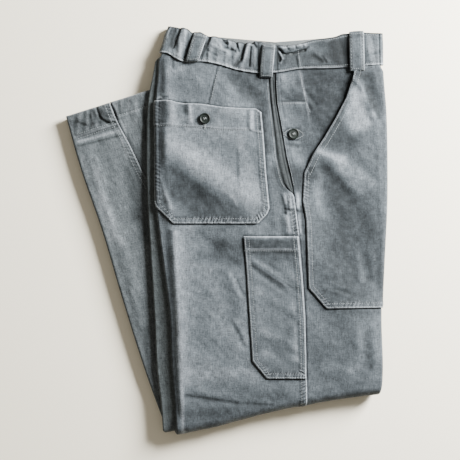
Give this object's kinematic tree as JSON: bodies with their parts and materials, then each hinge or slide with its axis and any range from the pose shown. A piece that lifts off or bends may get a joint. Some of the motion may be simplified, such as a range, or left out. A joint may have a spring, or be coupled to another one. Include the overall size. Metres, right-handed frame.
{
  "type": "folded_trousers",
  "caption": "Denim work trousers folded side to side and laid flat, legs turned under at the knee, with patch pockets and a gathered waistband",
  "frame": {"origin": "middle of the footprint, on the surface the trousers rest on", "axes": "+X from the back fold towards the front fold, +Y up to the waist, +Z out of the surface"},
  "size_m": [0.4668, 0.5908, 0.0299],
  "materials": {
    "denim_body": "faded grey-blue denim, soft and matte, with worn lighter patches",
    "denim_pocket": "faded grey-blue denim, light and worn along its stitched edges",
    "denim_waistband": "faded grey-blue denim, doubled, gathered at the back",
    "denim_lower_leg": "faded grey-blue denim with a puckered stitched hem",
    "denim_inner_layers": "grey-blue denim in shade between the folded layers",
    "button_resin": "dark green-grey resin, satin"
  },
  "bodies": {
    "root": {"back_panel": "denim_body", "front_panel": "denim_body", "side_placket": "denim_body", "back_pocket": "denim_pocket", "tool_pocket": "denim_pocket", "front_pocket": "denim_pocket", "waistband_back": "denim_waistband", "waistband_front": "denim_waistband", "belt_loop_back": "denim_waistband", "belt_loop_side": "denim_waistband", "belt_loop_front": "denim_waistband", "lower_leg_back_panel": "denim_lower_leg", "lower_leg_front_panel": "denim_lower_leg", "hidden_layers": "denim_inner_layers", "pocket_button": "button_resin", "side_button": "button_resin"}
  },
  "joints": []
}
